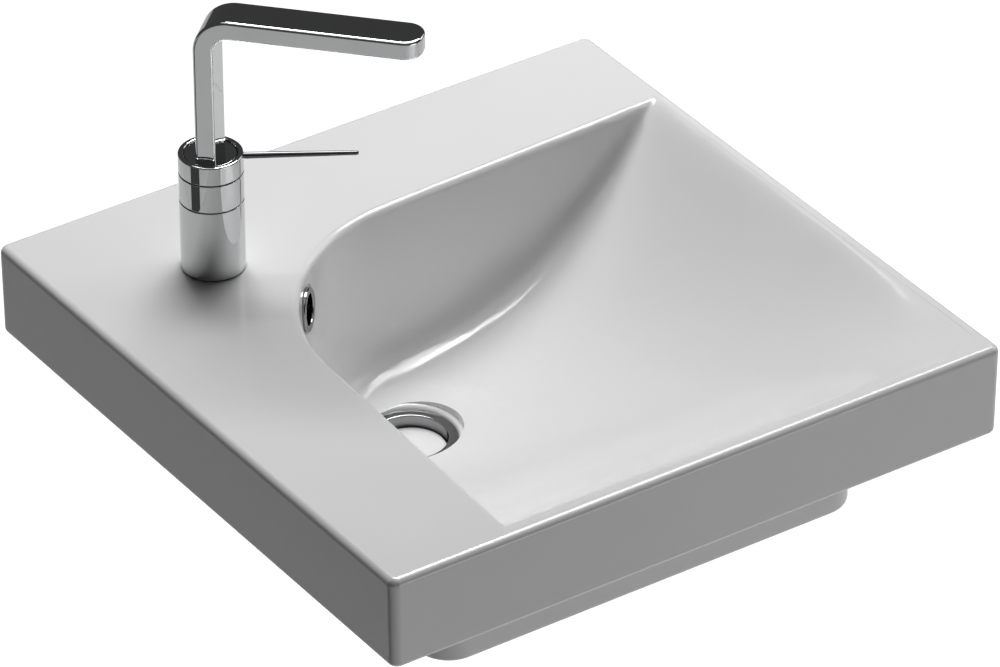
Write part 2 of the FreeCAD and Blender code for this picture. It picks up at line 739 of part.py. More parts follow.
def shadow_ring():
    """Dark ring in the lower groove, between body and shroud."""
    return at_tap(ring(TAP_R - GROOVE_IN, BODY_NECK_R + FIT, BODY_TOP, SHROUD_LOW))


def shroud_ring():
    """Middle chrome ring screwed on the body's neck, with a shelf under the collar."""
    shelf = SHROUD_TOP - SHROUD_TOP_T
    body = turned([(BODY_NECK_R + FIT, SHROUD_LOW), (TAP_R, SHROUD_LOW), (TAP_R, SHROUD_TOP),
                   (SLEEVE_R + RUN, SHROUD_TOP), (SLEEVE_R + RUN, shelf), (BODY_NECK_R + FIT, shelf)])
    edge = GROOVE_IN / 2
    body = bevel_edges(body, edge,
                       lambda e: is_circle(e, TAP_R, SHROUD_LOW) or is_circle(e, TAP_R, SHROUD_TOP))
    return at_tap(body)


def glide_ring():
    """Plastic ring in the upper groove, on which the collar turns."""
    return at_tap(ring(TAP_R - GROOVE_IN, SLEEVE_R + 2 * RUN, SHROUD_TOP, SHROUD_TOP + GROOVE_H))


def control_collar():
    """Top chrome cup that turns: floor pressed on the drive sleeve, rim round the spout's base."""
    inner_r = TAP_R - COLLAR_WALL
    body = turned([(SLEEVE_R + FIT, COLLAR_LOW), (TAP_R, COLLAR_LOW), (TAP_R, COLLAR_TOP),
                   (inner_r, COLLAR_TOP), (inner_r, SLEEVE_TOP), (SLEEVE_R + FIT, SLEEVE_TOP)])
    body = round_edges(body, COLLAR_RIM_R,
                       lambda e: is_circle(e, TAP_R, COLLAR_TOP) or is_circle(e, inner_r, COLLAR_TOP))
    body = bevel_edges(body, GROOVE_IN / 2, lambda e: is_circle(e, TAP_R, COLLAR_LOW))
    hole = Part.makeCylinder(LEVER_THREAD_R + FIT, TAP_R, V(0, 0, COLLAR_TOP - LEVER_BELOW_RIM), V(1, 0, 0))
    return at_tap(body.cut(hole), LEVER_AZIMUTH)


def lever_rod():
    """Tapered lever with a round tip and a threaded root in the collar's wall."""
    z = COLLAR_TOP - LEVER_BELOW_RIM
    start = TAP_R + FIT
    end = LEVER_REACH - LEVER_TIP_R
    along = V(1, 0, 0)
    body = Part.makeCone(LEVER_ROOT_R, LEVER_TIP_R, end - start, V(start, 0, z), along)
    body = body.fuse(Part.makeSphere(LEVER_TIP_R, V(end, 0, z)))
    root_start = TAP_R - COLLAR_WALL + LOOSE
    body = body.fuse(Part.makeCylinder(LEVER_THREAD_R, start - root_start, V(root_start, 0, z), along))
    return at_tap(body.removeSplitter(), LEVER_AZIMUTH)


def riser_tube():
    """Fixed brass tube from the body's base to the spout, with a cross port in the valve."""
    body = ring(RISER_R, RISER_BORE_R, BODY_SPIGOT_H, SPOUT_BASE_LOW)
    port_r = (RISER_R - RISER_BORE_R) * 1.2
    port_z = SLEEVE_LOW + SLEEVE_FLANGE_T / 2
    port = Part.makeCylinder(port_r, 4 * RISER_R, V(-2 * RISER_R, 0, port_z), V(1, 0, 0))
    return at_tap(body.cut(port))


# Spout


def seal_heights():
    """Heights of the two seals on the spout's tube."""
    low = SPOUT_BASE_LOW - SPOUT_TUBE_H
    return [low + SPOUT_TUBE_H * share for share in (0.25, 0.6)]


def spout_base():
    """Chrome disc inside the collar that carries the spout, with a grooved tube in the riser."""
    tube_r = RISER_BORE_R - SEAT
    bore = tube_r - SPOUT_TUBE_WALL
    top = SPOUT_BASE_LOW + SPOUT_BASE_T
    body = turned([(bore, SPOUT_BASE_LOW - SPOUT_TUBE_H), (tube_r, SPOUT_BASE_LOW - SPOUT_TUBE_H),
                   (tube_r, SPOUT_BASE_LOW), (SPOUT_BASE_R, SPOUT_BASE_LOW), (SPOUT_BASE_R, top),
                   (bore, top)])
    groove_r = RISER_BORE_R - 2 * ORING_R - SEAT
    for z in seal_heights():
        body = body.cut(ring(tube_r + FIT, groove_r, z - 2 * ORING_R, z + 2 * ORING_R))
    return at_tap(body, SPOUT_AZIMUTH)


def spout_seals():
    """Two rubber rings on the spout's tube."""
    outer = RISER_BORE_R - FIT
    inner = outer - 2 * ORING_R
    cut = ORING_R / 2
    rings = []
    for z in seal_heights():
        low, high = z - ORING_R, z + ORING_R
        rings.append(turned([(inner, low + cut), (inner + cut, low), (outer - cut, low), (outer, low + cut),
                             (outer, high - cut), (outer - cut, high), (inner + cut, high),
                             (inner, high - cut)]))
    return at_tap(Part.makeCompound(rings))


def bent_bar(inset, low, reach, tip_r):
    """Flat bar that rises from low, bends and runs out level to a rounded tip, with its faces moved in."""
    half = SPOUT_T / 2 - inset
    top = SPOUT_TOP - inset
    under = SPOUT_TOP - SPOUT_T + inset
    inner_r = SPOUT_BEND_R + inset
    outer_r = SPOUT_BEND_R + SPOUT_T - inset
    cx, cz = SPOUT_T / 2 + SPOUT_BEND_R, SPOUT_TOP - SPOUT_T - SPOUT_BEND_R
    k = math.sqrt(0.5)
    edges = [Part.LineSegment(V(-half, 0, low), V(-half, 0, cz)).toShape(),
             Part.Arc(V(-half, 0, cz), V(cx - outer_r * k, 0, cz + outer_r * k), V(cx, 0, top)).toShape(),
             Part.LineSegment(V(cx, 0, top), V(reach, 0, top)).toShape(),
             Part.LineSegment(V(reach, 0, top), V(reach, 0, under)).toShape(),
             Part.LineSegment(V(reach, 0, under), V(cx, 0, under)).toShape(),
             Part.Arc(V(cx, 0, under), V(cx - inner_r * k, 0, cz + inner_r * k), V(half, 0, cz)).toShape(),
             Part.LineSegment(V(half, 0, cz), V(half, 0, low)).toShape(),
             Part.LineSegment(V(half, 0, low), V(-half, 0, low)).toShape()]
    width = SPOUT_W - 2 * inset
    face = Part.Face(Part.Wire(edges))
    face.translate(V(0, -width / 2, 0))
    body = face.extrude(V(0, width, 0))

    def tip_corner(edge):
        box = edge.BoundBox
        return box.XMin > reach - 1e-3 and box.ZLength > 1e-3 and box.YLength < 1e-3

    return round_edges(body, tip_r, tip_corner)


def spout():
    """Hollow flat spout with softened edges and an aerator pocket under its tip."""
    low = SPOUT_BASE_LOW + SPOUT_BASE_T
    body = bent_bar(0, low, SPOUT_REACH, SPOUT_TIP_R)
    body = round_edges(body, SPOUT_EDGE, lambda e: e.BoundBox.ZMax > low + 1e-3 and long_edge(e))
    body = body.cut(bent_bar(SPOUT_WALL, low, SPOUT_REACH - SPOUT_WALL, SPOUT_TIP_R - SPOUT_WALL))
    pocket = post(AERATOR_R + FIT, SPOUT_TOP - SPOUT_T - 1, SPOUT_TOP - SPOUT_WALL, aerator_x())
    return at_tap(body.cut(pocket), SPOUT_AZIMUTH)


def long_edge(edge):
    """True for edges that run along the bar or round its tip, not for the short upright ones at the tip."""
    box = edge.BoundBox
    across = box.YLength > SPOUT_W - 1
    upright_tip = box.XLength < 1e-3 and box.YLength < 1e-3 and box.XMin > SPOUT_T
    return not across and not upright_tip


def aerator_x():
    """Distance of the aerator from the tap axis."""
    return SPOUT_REACH - AERATOR_FROM_TIP


def aerator_housing():
    """Chrome ring screwed into the spout, with a lip under the insert."""
    low = SPOUT_TOP - SPOUT_T - AERATOR_LIP
    inner = AERATOR_R - AERATOR_WALL
    body = turned([(inner - AERATOR_LIP, low), (AERATOR_R, low), (AERATOR_R, low + AERATOR_H),
                   (inner, low + AERATOR_H), (inner, low + AERATOR_LIP),
                   (inner - AERATOR_LIP, low + AERATOR_LIP)])
    body.translate(V(aerator_x(), 0, 0))
    return at_tap(body, SPOUT_AZIMUTH)


def aerator_insert():
    """Plastic insert with a ring of jets round a centre one."""
    low = SPOUT_TOP - SPOUT_T
    high = low + AERATOR_H - 2 * AERATOR_LIP
    radius = AERATOR_R - AERATOR_WALL - FIT
    body = post(radius, low, high)
    places = [(0, 0)]
    for count, share in ((6, 0.36), (12, 0.72)):
        for k in range(count):
            a = 2 * math.pi * k / count
            places.append((radius * share * math.cos(a), radius * share * math.sin(a)))
    for x, y in places:
        body = body.cut(post(AERATOR_JET_R, low, high, x, y))
    body.translate(V(aerator_x(), 0, 0))
    return at_tap(body, SPOUT_AZIMUTH)


def aerator_seal():
    """Rubber ring on top of the aerator housing."""
    low = SPOUT_TOP - SPOUT_T - AERATOR_LIP + AERATOR_H
    body = ring(AERATOR_R - FIT, AERATOR_R - 2 * AERATOR_WALL, low, low + AERATOR_SEAL_T)
    body.translate(V(aerator_x(), 0, 0))
    return at_tap(body, SPOUT_AZIMUTH)


# Tap fixing under the deck


def fixing_stud():
    """Threaded stud in the tap body's base."""
    return at_tap(post(STUD_R, -STUD_DROP, STUD_GRIP - BODY_SPIGOT_H, -STUD_OFFSET), SPOUT_AZIMUTH)


def horseshoe(high):
    """Horseshoe washer round the hoses' way, with a hole for the stud."""
    body = post(HORSESHOE_R, high - HORSESHOE_T, high)
    body = body.cut(block(-HORSESHOE_BACK, 2 * HORSESHOE_R, -HORSESHOE_HALF_GAP, HORSESHOE_HALF_GAP,
                          high - HORSESHOE_T, high))
    body = body.cut(post(STUD_R + RUN, high - HORSESHOE_T, high, -STUD_OFFSET))
    return at_tap(body, SPOUT_AZIMUTH)


def horseshoe_gasket():
    """Rubber horseshoe against the underside of the deck."""
    return horseshoe(UNDER_BOSS)


def horseshoe_plate():
    """Steel horseshoe under the rubber one."""
    return horseshoe(UNDER_BOSS - HORSESHOE_T)


def stud_nut():
    """Hexagon nut on the stud."""
    high = UNDER_BOSS - 2 * HORSESHOE_T
    body = hexagon(NUT_AF, high - NUT_H, high).cut(post(STUD_R + FIT, high - NUT_H, high))
    body.translate(V(-STUD_OFFSET, 0, 0))
    return at_tap(body, SPOUT_AZIMUTH)


# Waste and plug


def waste_body():
    """Chrome cup in the drain well with a slotted tail and a three-armed hub for the click barrel."""
    cup_in = CUP_R - CUP_WALL
    lip = -CUP_TOP_DROP
    relief_top = thread_end()
    relief_low = relief_top - TAIL_RELIEF_H
    body = turned([(TAIL_BORE_R, CUP_FLOOR_TOP), (cup_in, CUP_FLOOR_TOP), (cup_in, lip),
                   (CUP_R + CUP_LIP, lip), (CUP_R + CUP_LIP, lip - CUP_LIP_T),
                   (CUP_R, lip - CUP_LIP_T), (CUP_R, CUP_FLOOR_LOW),
                   (TAIL_R, CUP_FLOOR_LOW), (TAIL_R, relief_top), (TAIL_R - TAIL_RELIEF, relief_top),
                   (TAIL_R - TAIL_RELIEF, relief_low), (TAIL_R, relief_low), (TAIL_R, -TAIL_DROP),
                   (TAIL_BORE_R, -TAIL_DROP)])
    body = bevel_edges(body, CUP_LIP * 0.8,
                       lambda e: is_circle(e, CUP_R + CUP_LIP, lip) or is_circle(e, cup_in, lip))
    low, high = slot_span()
    slots = block(-CUP_R, CUP_R, -SLOT_W / 2, SLOT_W / 2, low, high)
    body = body.cut(slots).cut(turn(slots, 90))
    hub_low = -SPIDER_DROP - SPIDER_HUB_H
    middle = -SPIDER_DROP - SPIDER_HUB_H / 2
    web = post(SPIDER_HUB_R, hub_low, -SPIDER_DROP)
    for k in range(3):
        arm = block(0, TAIL_BORE_R + TAIL_WALL / 2, -SPIDER_ARM_W / 2, SPIDER_ARM_W / 2,
                    middle - SPIDER_ARM_H / 2, middle + SPIDER_ARM_H / 2)
        web = web.fuse(turn(arm, 120 * k + 30))
    web = web.cut(post(BARREL_R + FIT, hub_low, -SPIDER_DROP))
    return at_drain(body.fuse(web).removeSplitter())


def slot_span():
    """Lower and upper end of the tail's overflow slots, level with the passage in the ceramic."""
    low = -foot_drop() + CHANNEL_FLOOR
    return low, low + CHANNEL_H - RUN


def thread_end():
    """Underside of the back nut."""
    return -foot_drop() - LOWER_SEAL_T - SLIP_WASHER_T - BACK_NUT_H


def waste_seal():
    """Rubber ring under the cup, on the well's seat."""
    return at_drain(ring(CUP_R - CUP_WALL, DRAIN_HOLE_R + LOOSE, -WELL_DEPTH, CUP_FLOOR_LOW))


def lower_seal():
    """Tapered rubber ring under the drain boss."""
    high = -foot_drop()
    low = high - LOWER_SEAL_T
    bore = TAIL_R + LOOSE
    return at_drain(turned([(bore, low), (LOWER_SEAL_R, low), (LOWER_SEAL_R, low + LOWER_SEAL_T / 2),
                            (LOWER_SEAL_R - LOWER_SEAL_TAPER, high), (bore, high)]))


def slip_washer():
    """Plastic washer between the lower seal and the nut."""
    high = -foot_drop() - LOWER_SEAL_T
    return at_drain(ring(LOWER_SEAL_R, TAIL_R + LOOSE, high - SLIP_WASHER_T, high))


def back_nut():
    """Hexagon nut on the tail with a bevelled lower edge."""
    low = thread_end()
    high = low + BACK_NUT_H
    corner_r = BACK_NUT_AF / math.sqrt(3)
    bevel = turned([(0, low), (BACK_NUT_AF / 2, low), (corner_r, low + BACK_NUT_H / 3),
                    (corner_r, high), (0, high)])
    body = hexagon(BACK_NUT_AF, low, high).common(bevel)
    return at_drain(body.cut(post(TAIL_R + FIT, low, high)))


def click_barrel():
    """Brass barrel in the waste's hub that guides and latches the plug's stem."""
    shoulder = -SPIDER_DROP
    body = turned([(0, -BARREL_END_DROP), (BARREL_R, -BARREL_END_DROP), (BARREL_R, shoulder),
                   (BARREL_SHOULDER_R, shoulder), (BARREL_SHOULDER_R, shoulder + BARREL_SHOULDER_T),
                   (BARREL_R, shoulder + BARREL_SHOULDER_T), (BARREL_R, -BARREL_TOP_DROP),
                   (0, -BARREL_TOP_DROP)])
    bore_low = -BARREL_END_DROP + BARREL_SHOULDER_T
    return at_drain(body.cut(post(PLUG_STEM_R + PLUG_STEM_CLEAR, bore_low, -BARREL_TOP_DROP)))


def plug_under():
    """Height of the plug cap's underside when the plug is down."""
    return CUP_FLOOR_TOP + SEAT + PLUG_SEAL_T


def plug_cap():
    """White cap of the plug with a rounded edge."""
    low = plug_under()
    body = post(PLUG_R, low, low + PLUG_T)
    return at_drain(round_edges(body, PLUG_EDGE_R, lambda e: is_circle(e, PLUG_R, low + PLUG_T)))


def plug_seal():
    """Rubber ring under the cap."""
    low = plug_under()
    return at_drain(ring(PLUG_SEAL_OUT, PLUG_SEAL_IN, low - PLUG_SEAL_T, low))


def plug_carrier():
    """Brass disc under the cap with the stem that slides in the click barrel."""
    low = plug_under()
    body = post(PLUG_CARRIER_R, low - PLUG_CARRIER_T, low)
    return at_drain(body.fuse(post(PLUG_STEM_R, -PLUG_STEM_DROP, low)).removeSplitter())


PIECES = [basin_ceramic, overflow_ring, overflow_gasket,
          tap_base_gasket, tap_body, cartridge_housing, fixed_disc, turning_disc, drive_sleeve, cartridge_nut,
          shadow_ring, shroud_ring, glide_ring, control_collar, lever_rod, riser_tube,
          spout_base, spout_seals, spout, aerator_housing, aerator_insert, aerator_seal,
          fixing_stud, horseshoe_gasket, horseshoe_plate, stud_nut,
          waste_body, waste_seal, lower_seal, slip_washer, back_nut, click_barrel,
          plug_cap, plug_seal, plug_carrier]

os.makedirs("parts", exist_ok=True)
for piece in PIECES:
    shape = piece()
    shape.exportStep("parts/" + piece.__name__ + ".step")
    print(piece.__name__, shape.isValid(), len(shape.Solids), round(shape.Volume))
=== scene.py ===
import json
import math

import bmesh
import bpy
from mathutils import Matrix, Vector


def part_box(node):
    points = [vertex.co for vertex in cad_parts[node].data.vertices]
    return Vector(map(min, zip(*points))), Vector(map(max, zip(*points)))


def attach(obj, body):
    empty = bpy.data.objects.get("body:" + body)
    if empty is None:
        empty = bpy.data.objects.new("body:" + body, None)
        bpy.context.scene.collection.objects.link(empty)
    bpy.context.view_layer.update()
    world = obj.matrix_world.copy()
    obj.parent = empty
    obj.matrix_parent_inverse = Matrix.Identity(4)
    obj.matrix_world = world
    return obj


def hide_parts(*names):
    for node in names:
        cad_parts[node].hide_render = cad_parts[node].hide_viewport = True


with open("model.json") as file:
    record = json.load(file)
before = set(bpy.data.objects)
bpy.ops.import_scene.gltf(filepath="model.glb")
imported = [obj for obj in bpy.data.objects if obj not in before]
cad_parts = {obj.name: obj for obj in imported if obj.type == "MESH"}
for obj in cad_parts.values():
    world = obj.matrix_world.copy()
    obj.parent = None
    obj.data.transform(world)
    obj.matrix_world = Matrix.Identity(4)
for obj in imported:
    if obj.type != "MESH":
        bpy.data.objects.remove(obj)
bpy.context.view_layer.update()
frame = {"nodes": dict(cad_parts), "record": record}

# Places in metres, turns in radians
MM = 0.001
TINY = 1e-6
DECK_Z = 0.036
FOOT_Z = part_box("basin_ceramic")[0].z
MIDDLE_Y = -0.23
MIDDLE = Vector((0.0, MIDDLE_Y, 0.0))
TAP_FOOT = Vector((-0.128, -0.099, DECK_Z))
SPOUT_TURN = math.radians(-47)
LEVER_TURN = math.radians(-32)
WASTE_HEIGHT = 92 * MM
DRAIN_FLOOR = Vector((-0.0395, -0.1905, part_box("waste_body")[0].z + WASTE_HEIGHT))
OVERFLOW_SEAT = Vector((-0.088137, -0.145363, 0.012))
OVERFLOW_AXIS = Vector((0.70538, -0.70538, 0.06976))
STUDIO_FLOOR_Z = -0.82

# Sizes of the tap in millimetres, heights from the deck
TAP_R, GROOVE_R, NECK_R, NECK_BORE_R = 20.9, 20.1, 18.8, 18.83
GASKET_TOP, BODY_TOP = 0.8, 51.0
SHROUD_FOOT, SHROUD_TOP = 51.8, 71.2
GLIDE_TOP, COLLAR_FOOT, COLLAR_TOP = 72.0, 72.1, 85.3
LEVER_HEIGHT, LEVER_REACH = 81.8, 94.0
SPOUT_FOOT, SPOUT_TOP, SPOUT_THICK, SPOUT_REACH = 84.3, 190.0, 13.0, 140.0
SPOUT_UNDER = SPOUT_TOP - SPOUT_THICK
AERATOR_INSET = 15.0

# Fineness of rounded shapes
ROUND_STEPS = 128
CORNER_STEPS, EDGE_STEPS, TIP_STEPS, BEND_STEPS = 5, 8, 16, 32


# Shader building

MIX_INPUTS, MIX_RESULT = (0, 6, 7), 2


def fill(tree, socket, value):
    """Gives a socket a value or a link."""
    if isinstance(value, bpy.types.NodeSocket):
        tree.links.new(value, socket)
    else:
        socket.default_value = value


def feed(tree, node, **sockets):
    """Fills a node's sockets, whose names have underscores for spaces."""
    for name, value in sockets.items():
        fill(tree, node.inputs[name.replace("_", " ")], value)


def put(tree, kind, settings=None, **sockets):
    """Adds a node with its settings and fills its sockets."""
    node = tree.nodes.new(kind)
    for name, value in (settings or {}).items():
        setattr(node, name, value)
    feed(tree, node, **sockets)
    return node


def maths(tree, operation, first, second):
    """Math node's result."""
    node = put(tree, "ShaderNodeMath", {"operation": operation})
    for socket, value in zip(node.inputs, (first, second)):
        fill(tree, socket, value)
    return node.outputs[0]


def between(tree, value, low, high, out_low=0.0, out_high=1.0):
    """Value taken from one span to another, smoothly and clamped."""
    node = put(tree, "ShaderNodeMapRange", {"interpolation_type": "SMOOTHSTEP"}, Value=value,
               From_Min=low, From_Max=high, To_Min=out_low, To_Max=out_high)
    return node.outputs["Result"]


def noise(tree, place, **sockets):
    """Noise over a place."""
    return put(tree, "ShaderNodeTexNoise", Vector=place, **sockets).outputs[0]


def tinted(tree, share, first, second):
    """Colour between two colours, each written out or linked."""
    node = put(tree, "ShaderNodeMix", {"data_type": "RGBA"})
    for index, value in zip(MIX_INPUTS, (share, first, second)):
        fill(tree, node.inputs[index], (*value, 1) if isinstance(value, tuple) else value)
    return node.outputs[MIX_RESULT]


def effect(name, rate, usual, *results):
    """Shader group that reads a place and a rate: its tree, both inputs and its output node."""
    tree = bpy.data.node_groups.new(name, "ShaderNodeTree")
    tree.interface.new_socket("Place", in_out="INPUT", socket_type="NodeSocketVector")
    pace = tree.interface.new_socket(rate, in_out="INPUT", socket_type="NodeSocketFloat")
    pace.default_value = usual
    for label in results:
        tree.interface.new_socket(label, in_out="OUTPUT", socket_type="NodeSocketFloat")
    given = tree.nodes.new("NodeGroupInput").outputs
    return tree, given["Place"], given[rate], tree.nodes.new("NodeGroupOutput")


def glaze_effect():
    """Soft waves of a poured glaze, and the slow drift of its tone."""
    tree, place, waves, result = effect("poured_glaze", "Waves per metre", 45.0, "Height", "Tone")
    wide = noise(tree, place, Scale=waves, Detail=1.5, Roughness=0.4)
    peel = noise(tree, place, Scale=maths(tree, "MULTIPLY", waves, 7.0), Detail=1.0)
    fine = maths(tree, "MULTIPLY", peel, 0.12)
    drift = noise(tree, place, Scale=5.0, Detail=3.0)
    feed(tree, result, Height=maths(tree, "ADD", wide, fine), Tone=between(tree, drift, 0.3, 0.7))
    return tree


def haze_effect():
    """Patches where fingers and dried water have dulled a polish."""
    tree, place, patches, result = effect("handling_haze", "Patches per metre", 28.0,
                                          "Haze", "Drops")
    cloud = noise(tree, place, Scale=patches, Detail=4.0, Roughness=0.6)
    spots = put(tree, "ShaderNodeTexVoronoi", Vector=place,
                Scale=maths(tree, "MULTIPLY", patches, 6.0))
    feed(tree, result, Haze=between(tree, cloud, 0.45, 0.75),
         Drops=between(tree, spots.outputs["Distance"], 0.12, 0.2, 1.0, 0.0))
    return tree


def turning_effect():
    """Fine grooves that a lathe leaves round an upright piece."""
    tree, place, grooves, result = effect("turning_marks", "Grooves per metre", 2500.0,
                                          "Height", "Streak")
    stretch = put(tree, "ShaderNodeMapping", Vector=place, Scale=(0.01, 0.01, 1.0)).outputs[0]
    cut = noise(tree, stretch, Scale=grooves, Detail=2.0)
    band = noise(tree, stretch, Scale=maths(tree, "MULTIPLY", grooves, 0.1), Detail=2.0)
    feed(tree, result, Height=cut, Streak=between(tree, band, 0.35, 0.7))
    return tree


def grain_effect():
    """Fine grain of moulded rubber and plastic, and its dusty bloom."""
    tree, place, grains, result = effect("moulded_grain", "Grains per metre", 1500.0,
                                         "Height", "Bloom")
    grain = noise(tree, place, Scale=grains, Detail=2.0)
    bloom = noise(tree, place, Scale=90.0, Detail=3.0)
    feed(tree, result, Height=grain, Bloom=between(tree, bloom, 0.4, 0.7))
    return tree


poured_glaze = glaze_effect()
handling_haze = haze_effect()
turning_marks = turning_effect()
moulded_grain = grain_effect()


def begin(name):
    """New material with its tree, its shader and the place on the piece."""
    made = bpy.data.materials.new(name)
    made.use_nodes = True
    tree = made.node_tree
    shader = tree.nodes["Principled BSDF"]
    place = tree.nodes.new("ShaderNodeTexCoord").outputs["Object"]
    return made, tree, shader, place


def use(tree, group, place, **values):
    """Places a shared effect in a material with its own values."""
    return put(tree, "ShaderNodeGroup", {"node_tree": group}, Place=place, **values).outputs


def raise_relief(tree, shader, height, depth):
    """Bump from a height, its full depth given in metres."""
    bump = put(tree, "ShaderNodeBump", Height=height, Distance=depth, Strength=1.0)
    feed(tree, shader, Normal=bump.outputs["Normal"])


def glazed(name, pale, deep, roughness, foot=None):
    """White glaze. With a foot height, bare clay shows on the foot and against the wall."""
    made, tree, shader, place = begin(name)
    glaze = use(tree, poured_glaze, place)
    haze = use(tree, handling_haze, place, Patches_per_metre=9.0)
    colour = tinted(tree, glaze["Tone"], deep, pale)
    dull = maths(tree, "ADD", maths(tree, "MULTIPLY", haze["Haze"], 0.05), roughness)
    height = glaze["Height"]
    if foot is not None:
        parts = put(tree, "ShaderNodeSeparateXYZ", Vector=place).outputs
        under = between(tree, parts["Z"], foot + 0.0006, foot + 0.0014, 1.0, 0.0)
        behind = between(tree, parts["Y"], -0.0012, -0.0005)
        bare = maths(tree, "MAXIMUM", under, behind)
        clay = noise(tree, place, Scale=600.0, Detail=4.0)
        clay_colour = tinted(tree, clay, (0.66, 0.64, 0.6), (0.78, 0.76, 0.72))
        colour = tinted(tree, bare, colour, clay_colour)
        dull = maths(tree, "ADD", dull, maths(tree, "MULTIPLY", bare, 0.6))
        rough_clay = maths(tree, "MULTIPLY", maths(tree, "MULTIPLY", clay, bare), 1.5)
        height = maths(tree, "ADD", height, rough_clay)
    feed(tree, shader, Base_Color=colour, Roughness=dull, IOR=1.52)
    raise_relief(tree, shader, height, depth=0.00003)
    return made


def plated(name, colour, roughness):
    """Polished chrome with a little haze from handling."""
    made, tree, shader, place = begin(name)
    haze = use(tree, handling_haze, place)
    worn = maths(tree, "ADD", maths(tree, "MULTIPLY", haze["Haze"], 0.035),
                 maths(tree, "MULTIPLY", haze["Drops"], 0.02))
    dimmed = tuple(0.95 * c for c in colour)
    feed(tree, shader, Base_Color=tinted(tree, haze["Haze"], colour, dimmed),
         Roughness=maths(tree, "ADD", worn, roughness), Metallic=1.0)
    return made


def machined(name, bright, dark, roughness, grooves):
    """Turned or drawn metal with lathe marks and a tarnish that follows them."""
    made, tree, shader, place = begin(name)
    marks = use(tree, turning_marks, place, Grooves_per_metre=grooves)
    haze = use(tree, handling_haze, place, Patches_per_metre=60.0)
    stain = maths(tree, "MULTIPLY", maths(tree, "ADD", marks["Streak"], haze["Haze"]), 0.5)
    dull = maths(tree, "ADD", maths(tree, "MULTIPLY", stain, 0.15), roughness)
    feed(tree, shader, Base_Color=tinted(tree, stain, bright, dark), Roughness=dull, Metallic=1.0)
    raise_relief(tree, shader, marks["Height"], depth=0.00004)
    return made


def moulded(name, fresh, bloomed, roughness, grains):
    """Rubber, plastic or pressed ceramic with a fine grain and a dusty bloom."""
    made, tree, shader, place = begin(name)
    grain = use(tree, moulded_grain, place, Grains_per_metre=grains)
    dull = maths(tree, "ADD", maths(tree, "MULTIPLY", grain["Bloom"], 0.12), roughness)
    feed(tree, shader, Base_Color=tinted(tree, grain["Bloom"], fresh, bloomed), Roughness=dull)
    raise_relief(tree, shader, grain["Height"], depth=0.00003)
    return made


basin_glaze = glazed("basin_glaze", (0.87, 0.87, 0.87), (0.845, 0.845, 0.845), 0.14, FOOT_Z)
plug_glaze = glazed("plug_glaze", (0.93, 0.93, 0.93), (0.915, 0.915, 0.915), 0.12)
chrome = plated("polished_chrome", (0.55, 0.555, 0.56), 0.035)
# Darker copy of the polished chrome for the lever: painted shade that stands in for the dark
# reflections on the thin rod.
painted_shade_lever_chrome = plated("lever_chrome_painted_shade", (0.13, 0.13, 0.135), 0.05)
# Darker copy of the polished chrome for the drain's lip ring and the overflow ring: painted shade
# for the dim reflections in the well and the bowl's corner.
painted_shade_ring_chrome = plated("shaded_drain_chrome", (0.3, 0.3, 0.305), 0.05)
brass = machined("turned_brass", (0.74, 0.58, 0.29), (0.5, 0.37, 0.17), 0.24, 2500.0)
zinc = machined("zinc_plated_steel", (0.66, 0.67, 0.68), (0.47, 0.48, 0.5), 0.3, 1800.0)
disc_ceramic = moulded("lapped_disc_ceramic", (0.9, 0.89, 0.86), (0.86, 0.85, 0.82), 0.2, 2500.0)
rubber = moulded("black_rubber", (0.022, 0.022, 0.023), (0.045, 0.045, 0.046), 0.6, 1500.0)
dark_plastic = moulded("dark_plastic", (0.02, 0.02, 0.02), (0.032, 0.032, 0.032), 0.42, 1100.0)
grey_plastic = moulded("grey_plastic", (0.52, 0.53, 0.54), (0.6, 0.61, 0.62), 0.45, 1100.0)

FINISH = {"ceramic": basin_glaze, "plug_ceramic": plug_glaze, "chrome": chrome, "brass": brass,
          "steel": zinc, "valve_ceramic": disc_ceramic, "rubber": rubber,
          "black_plastic": dark_plastic, "grey_plastic": grey_plastic}
SLOT_OF = {part["node"]: part["material_slot"] for part in frame["record"]["subparts"]}
BODY_OF = {node: body for body, nodes in frame["record"]["behaviour"]["bodies"].items()
           for node in nodes}


# Piece building

def placed(name, data):
    """New object in the scene."""
    made = bpy.data.objects.new(name, data)
    bpy.context.scene.collection.objects.link(made)
    return made


def merged(name, points, faces, reach, turn_out=False):
    """Object of a mesh whose close points are merged, its faces turned outwards if asked."""
    mesh = bpy.data.meshes.new(name)
    mesh.from_pydata(points, [], faces)
    if turn_out:
        mesh.validate()
    work = bmesh.new()
    work.from_mesh(mesh)
    bmesh.ops.remove_doubles(work, verts=work.verts, dist=reach)
    if turn_out:
        bmesh.ops.recalc_face_normals(work, faces=work.faces)
    work.to_mesh(mesh)
    work.free()
    return placed(name, mesh)


def bake_modifiers(piece):
    """Replaces the piece's mesh by its evaluated one, without modifiers."""
    bpy.context.view_layer.update()
    seen = piece.evaluated_get(bpy.context.evaluated_depsgraph_get())
    mesh = bpy.data.meshes.new_from_object(seen)
    piece.modifiers.clear()
    piece.data = mesh
    mesh.name = piece.name


def even_shading(piece, crease=35.0):
    """Smooth shading with creases kept, where broad faces rule the normals at their edges."""
    mesh = piece.data
    work = bmesh.new()
    work.from_mesh(mesh)
    limit = math.radians(crease)
    for face in work.faces:
        face.smooth = True
    for edge in work.edges:
        edge.smooth = edge.calc_face_angle(0.0) < limit
    work.to_mesh(mesh)
    work.free()
    ruling = piece.modifiers.new("broad_faces_rule", "WEIGHTED_NORMAL")
    ruling.mode = "FACE_AREA"
    ruling.keep_sharp = True
    bake_modifiers(piece)


def settle(piece, *nodes, finish=None):
    """Gives a finished piece its finish and its body, and hides the CAD nodes that it stands for.
    """
    slot = SLOT_OF[nodes[0]]
    piece.data.materials.clear()
    piece.data.materials.append(finish or FINISH[slot])
    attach(piece, BODY_OF[nodes[0]])
    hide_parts(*nodes)


def quarter(k, steps):
    """Angle at one of the steps of a quarter turn."""
    return k / steps * math.pi / 2


